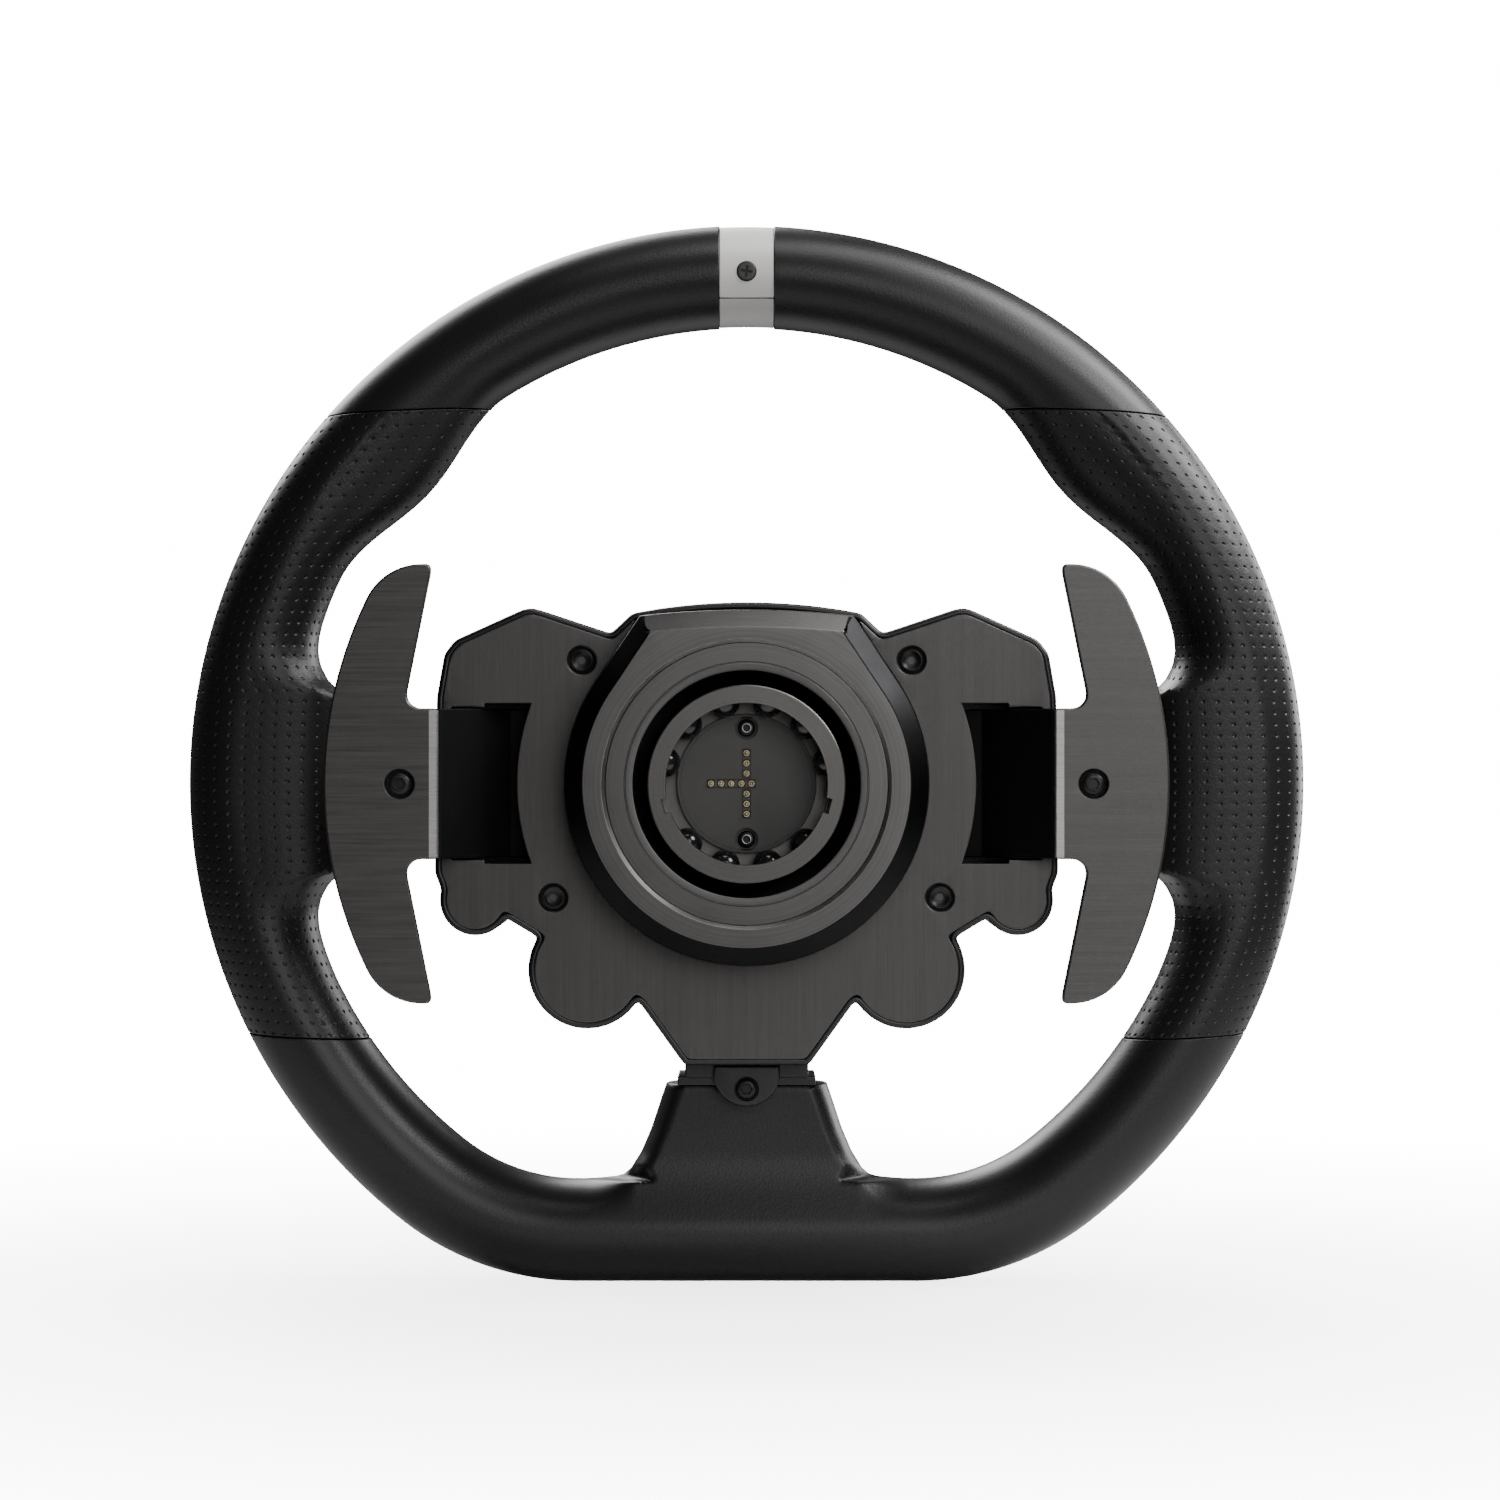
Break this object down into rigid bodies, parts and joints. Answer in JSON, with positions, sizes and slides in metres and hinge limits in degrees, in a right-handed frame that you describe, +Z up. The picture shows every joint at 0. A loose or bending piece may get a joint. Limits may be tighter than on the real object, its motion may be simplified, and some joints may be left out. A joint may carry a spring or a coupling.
{
  "type": "racing wheel",
  "caption": "Flat-bottomed racing simulator wheel: grips, hub with buttons and dials, rear shift paddles and a ball-lock quick release with spring contacts.",
  "frame": {"origin": "centre of the quick-release socket at its mouth, on the steering axis", "axes": "+Y along the steering axis towards the wheel base (the rear), +Z up, +X the driver's right"},
  "size_m": [0.3, 0.075, 0.284],
  "materials": {
    "alloy": "anodised",
    "wrap": "smooth, satin",
    "grip": "dimpled, satin",
    "stripe": "satin",
    "stripe_shade": "satin",
    "black_steel": "black oxide",
    "shell": "satin",
    "brushed_plate": "brushed, dark anodised",
    "dark_steel": "polished, blackened",
    "steel": "plain",
    "plug": "fine matt",
    "gold": "gold plated",
    "carrier": "matt",
    "knob": "matt",
    "key_grey": "satin",
    "key_yellow": "satin",
    "key_red": "satin",
    "key_green": "satin",
    "key_blue": "satin",
    "board": "lacquered",
    "cap": "satin"
  },
  "bodies": {
    "wheel": {"rim_core": "alloy", "right_top_cover": "wrap", "left_top_cover": "wrap", "right_grip": "grip", "left_grip": "grip", "bottom_cover": "wrap", "stripe_outer": "stripe", "stripe_inner": "stripe_shade", "stripe_screw": "black_steel", "front_housing": "shell", "rear_plate": "brushed_plate", "plate_screws": "black_steel", "hub_frame": "alloy", "lower_spoke": "alloy", "lower_spoke_screw": "black_steel", "qr_socket": "alloy", "sleeve_spring": "steel", "connector_plug": "plug", "connector_screws": "black_steel", "frame_bolts": "steel", "right_pivot_pin": "steel", "left_pivot_pin": "steel", "paddle_magnets": "steel", "dial_encoders": "carrier", "main_board": "board", "switches": "carrier", "centre_cap": "cap"},
    "release": {"release_sleeve": "brushed_plate", "cam_ring": "dark_steel"},
    "ball_1": {"locking_ball_1": "dark_steel"},
    "ball_2": {"locking_ball_2": "dark_steel"},
    "ball_3": {"locking_ball_3": "dark_steel"},
    "ball_4": {"locking_ball_4": "dark_steel"},
    "ball_5": {"locking_ball_5": "dark_steel"},
    "ball_6": {"locking_ball_6": "dark_steel"},
    "ball_7": {"locking_ball_7": "dark_steel"},
    "ball_8": {"locking_ball_8": "dark_steel"},
    "ball_9": {"locking_ball_9": "dark_steel"},
    "ball_10": {"locking_ball_10": "dark_steel"},
    "contacts": {"contact_pins": "gold"},
    "right_shifter": {"right_paddle": "brushed_plate", "right_paddle_carrier": "carrier", "right_paddle_screw": "black_steel"},
    "left_shifter": {"left_paddle": "brushed_plate", "left_paddle_carrier": "carrier", "left_paddle_screw": "black_steel"},
    "right_dial_knob": {"right_dial": "knob"},
    "left_dial_knob": {"left_dial": "knob"},
    "right_thumb_button_body": {"right_thumb_button": "key_grey"},
    "left_thumb_button_body": {"left_thumb_button": "key_grey"},
    "right_ear_key_body": {"right_ear_key": "knob"},
    "left_ear_key_body": {"left_ear_key": "knob"},
    "action_button_up_body": {"action_button_up": "key_yellow"},
    "action_button_right_body": {"action_button_right": "key_red"},
    "action_button_down_body": {"action_button_down": "key_green"},
    "action_button_left_body": {"action_button_left": "key_blue"},
    "home_button_body": {"home_button": "key_grey"},
    "pad_cross": {"dpad_pivot": "carrier"},
    "pad_cap": {"dpad_cap": "knob"}
  },
  "joints": [
    {"name": "release_pull", "type": "slide", "parent": "wheel", "child": "release", "axis": [0, -1, 0], "range_m": [0, 0.006], "stiffness_N_per_m": 1500, "springref_m": -0.003, "deforming": ["sleeve_spring"]},
    {"name": "ball_1_out", "type": "slide", "parent": "wheel", "child": "ball_1", "axis": [0.9659, 0, 0.2588], "range_m": [0, 0.0031]},
    {"name": "ball_2_out", "type": "slide", "parent": "wheel", "child": "ball_2", "axis": [0.7071, 0, 0.7071], "range_m": [0, 0.0031]},
    {"name": "ball_3_out", "type": "slide", "parent": "wheel", "child": "ball_3", "axis": [0.2588, 0, 0.9659], "range_m": [0, 0.0031]},
    {"name": "ball_4_out", "type": "slide", "parent": "wheel", "child": "ball_4", "axis": [-0.2588, 0, 0.9659], "range_m": [0, 0.0031]},
    {"name": "ball_5_out", "type": "slide", "parent": "wheel", "child": "ball_5", "axis": [-0.7071, 0, 0.7071], "range_m": [0, 0.0031]},
    {"name": "ball_6_out", "type": "slide", "parent": "wheel", "child": "ball_6", "axis": [-0.9659, 0, 0.2588], "range_m": [0, 0.0031]},
    {"name": "ball_7_out", "type": "slide", "parent": "wheel", "child": "ball_7", "axis": [-0.7071, 0, -0.7071], "range_m": [0, 0.0031]},
    {"name": "ball_8_out", "type": "slide", "parent": "wheel", "child": "ball_8", "axis": [-0.2588, 0, -0.9659], "range_m": [0, 0.0031]},
    {"name": "ball_9_out", "type": "slide", "parent": "wheel", "child": "ball_9", "axis": [0.2588, 0, -0.9659], "range_m": [0, 0.0031]},
    {"name": "ball_10_out", "type": "slide", "parent": "wheel", "child": "ball_10", "axis": [0.7071, 0, -0.7071], "range_m": [0, 0.0031]},
    {"name": "contacts_press", "type": "slide", "parent": "wheel", "child": "contacts", "axis": [0, -1, 0], "range_m": [0, 0.001], "stiffness_N_per_m": 400, "springref_m": -0.001},
    {"name": "right_paddle_pull", "type": "hinge", "parent": "wheel", "child": "right_shifter", "pos_m": [0.047, -0.037, 0], "axis": [0, 0, -1], "range_deg": [0, 5], "stiffness_Nm_per_rad": 2, "springref_deg": -1.72},
    {"name": "left_paddle_pull", "type": "hinge", "parent": "wheel", "child": "left_shifter", "pos_m": [-0.047, -0.037, 0], "axis": [0, 0, 1], "range_deg": [0, 5], "stiffness_Nm_per_rad": 2, "springref_deg": -1.72},
    {"name": "right_dial_turn", "type": "hinge", "parent": "wheel", "child": "right_dial_knob", "pos_m": [0.042, -0.07, -0.0491], "axis": [0, 1, 0], "continuous": true},
    {"name": "left_dial_turn", "type": "hinge", "parent": "wheel", "child": "left_dial_knob", "pos_m": [-0.042, -0.07, -0.0491], "axis": [0, 1, 0], "continuous": true},
    {"name": "right_thumb_button_press", "type": "slide", "parent": "wheel", "child": "right_thumb_button_body", "axis": [0, 1, 0], "range_m": [0, 0.0012], "stiffness_N_per_m": 500, "springref_m": -0.001},
    {"name": "left_thumb_button_press", "type": "slide", "parent": "wheel", "child": "left_thumb_button_body", "axis": [0, 1, 0], "range_m": [0, 0.0012], "stiffness_N_per_m": 500, "springref_m": -0.001},
    {"name": "right_ear_key_press", "type": "slide", "parent": "wheel", "child": "right_ear_key_body", "axis": [0, 1, 0], "range_m": [0, 0.0012], "stiffness_N_per_m": 500, "springref_m": -0.001},
    {"name": "left_ear_key_press", "type": "slide", "parent": "wheel", "child": "left_ear_key_body", "axis": [0, 1, 0], "range_m": [0, 0.0012], "stiffness_N_per_m": 500, "springref_m": -0.001},
    {"name": "action_button_up_press", "type": "slide", "parent": "wheel", "child": "action_button_up_body", "axis": [0, 1, 0], "range_m": [0, 0.0012], "stiffness_N_per_m": 500, "springref_m": -0.001},
    {"name": "action_button_right_press", "type": "slide", "parent": "wheel", "child": "action_button_right_body", "axis": [0, 1, 0], "range_m": [0, 0.0012], "stiffness_N_per_m": 500, "springref_m": -0.001},
    {"name": "action_button_down_press", "type": "slide", "parent": "wheel", "child": "action_button_down_body", "axis": [0, 1, 0], "range_m": [0, 0.0012], "stiffness_N_per_m": 500, "springref_m": -0.001},
    {"name": "action_button_left_press", "type": "slide", "parent": "wheel", "child": "action_button_left_body", "axis": [0, 1, 0], "range_m": [0, 0.0012], "stiffness_N_per_m": 500, "springref_m": -0.001},
    {"name": "home_button_press", "type": "slide", "parent": "wheel", "child": "home_button_body", "axis": [0, 1, 0], "range_m": [0, 0.0012], "stiffness_N_per_m": 500, "springref_m": -0.001},
    {"name": "dpad_tilt_up_down", "type": "hinge", "parent": "wheel", "child": "pad_cross", "pos_m": [-0.061, -0.0686, 0.001], "axis": [1, 0, 0], "range_deg": [-5, 5], "stiffness_Nm_per_rad": 0.3},
    {"name": "dpad_tilt_left_right", "type": "hinge", "parent": "pad_cross", "child": "pad_cap", "pos_m": [-0.061, -0.0686, 0.001], "axis": [0, 0, 1], "range_deg": [-5, 5], "stiffness_Nm_per_rad": 0.3}
  ],
  "couplings": [
    {"joint": "ball_1_out", "follows": "release_pull", "ratio": 0.50833},
    {"joint": "ball_2_out", "follows": "release_pull", "ratio": 0.50833},
    {"joint": "ball_3_out", "follows": "release_pull", "ratio": 0.50833},
    {"joint": "ball_4_out", "follows": "release_pull", "ratio": 0.50833},
    {"joint": "ball_5_out", "follows": "release_pull", "ratio": 0.50833},
    {"joint": "ball_6_out", "follows": "release_pull", "ratio": 0.50833},
    {"joint": "ball_7_out", "follows": "release_pull", "ratio": 0.50833},
    {"joint": "ball_8_out", "follows": "release_pull", "ratio": 0.50833},
    {"joint": "ball_9_out", "follows": "release_pull", "ratio": 0.50833},
    {"joint": "ball_10_out", "follows": "release_pull", "ratio": 0.50833}
  ]
}
